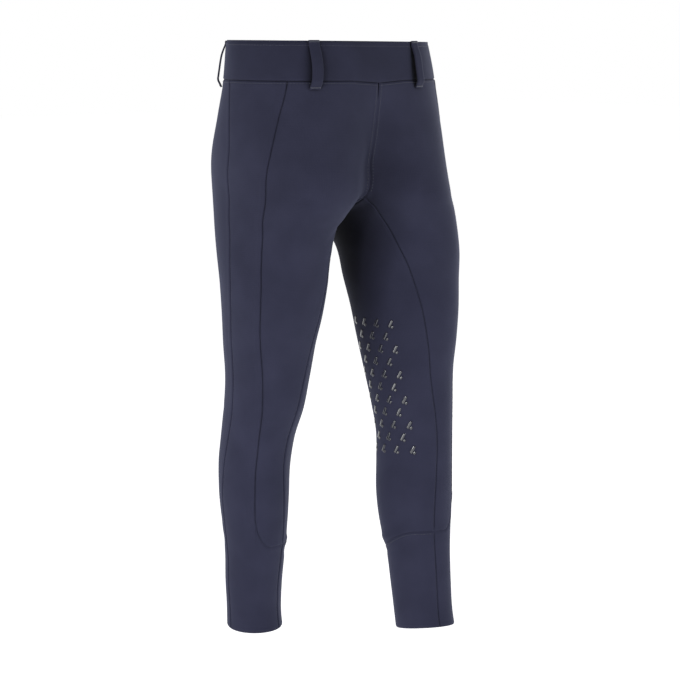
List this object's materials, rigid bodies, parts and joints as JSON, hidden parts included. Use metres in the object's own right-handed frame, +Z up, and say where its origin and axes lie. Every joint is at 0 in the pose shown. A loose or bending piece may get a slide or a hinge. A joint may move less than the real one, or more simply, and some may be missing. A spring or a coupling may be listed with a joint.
{
  "type": "riding breeches",
  "caption": "Child's riding breeches in stretch knit cloth, with a waistband, belt loops, curved leg panels and grip print at the inner knees, held open as worn.",
  "frame": {"origin": "middle of the waist opening, level with the waistband's top edge", "axes": "+Z up along the wearer, -Y to the garment's front, +X to the garment's left"},
  "size_m": [0.2564, 0.207, 0.6189],
  "materials": {
    "cloth": "matte knitted cloth, dark navy",
    "band": "matte knitted cloth, dark navy",
    "loop": "matte knitted cloth, dark navy"
  },
  "bodies": {
    "root": {"right_front_panel": "cloth", "right_side_panel": "cloth", "right_back_panel": "cloth", "right_inner_panel": "cloth", "right_inner_cuff_panel": "cloth", "left_front_panel": "cloth", "left_side_panel": "cloth", "left_back_panel": "cloth", "left_inner_panel": "cloth", "left_inner_cuff_panel": "cloth", "waistband": "band", "loop_front_right": "loop", "loop_front_left": "loop", "loop_side_right": "loop", "loop_side_left": "loop", "loop_back": "loop"}
  },
  "joints": []
}
